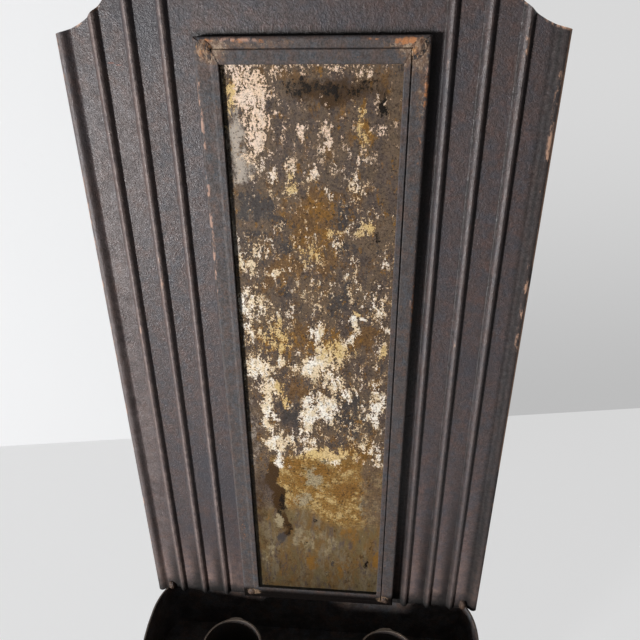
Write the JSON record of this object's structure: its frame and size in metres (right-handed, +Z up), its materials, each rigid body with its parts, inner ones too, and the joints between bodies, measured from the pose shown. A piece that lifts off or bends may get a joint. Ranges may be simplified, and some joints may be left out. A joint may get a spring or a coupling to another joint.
{
  "type": "mirror candle sconce",
  "caption": "Antique tin wall sconce: beaded backplate with scooped top corners, narrow framed mirror, deep drip pan and tubular candle cups.",
  "frame": {"origin": "on the surface that the drip pan stands on, under the middle of the overall width and depth", "axes": "+Z up the backplate, +Y to the wall, +X to the right of someone who faces the mirror"},
  "size_m": [0.152, 0.06, 0.2915],
  "materials": {
    "plate_tin": "dark brown-black patinated tin, worn to tan on the bead crests",
    "pan_tin": "dark brown-black patinated tin with rust and candle grime",
    "cup_tin": "dark patinated tin, rims rubbed lighter",
    "moulding_tin": "dark patinated tin, folded edges rubbed to copper-tan",
    "solder": "lumpy solder, rust-brown and tan",
    "foxed_silver": "flaked and foxed silvering, cream, ochre and grey-brown",
    "old_glass": "clear old glass, slightly hazed"
  },
  "bodies": {
    "root": {"backplate": "plate_tin", "pan_floor": "pan_tin", "pan_wall": "pan_tin", "pan_back": "pan_tin", "pan_seam_solder_left": "solder", "pan_seam_solder_right": "solder", "candle_cup_left": "cup_tin", "candle_cup_right": "cup_tin", "cup_solder_left": "solder", "cup_solder_right": "solder", "frame_stile_left": "moulding_tin", "frame_stile_right": "moulding_tin", "frame_rail_top": "moulding_tin", "frame_rail_bottom": "moulding_tin", "mirror_lip_left": "moulding_tin", "mirror_lip_right": "moulding_tin", "mirror_lip_top": "moulding_tin", "mirror_lip_bottom": "moulding_tin", "corner_solder_top_left": "solder", "corner_solder_top_right": "solder", "corner_solder_bottom_left": "solder", "corner_solder_bottom_right": "solder", "mirror_silvering": "foxed_silver", "mirror_glass": "old_glass"}
  },
  "joints": []
}
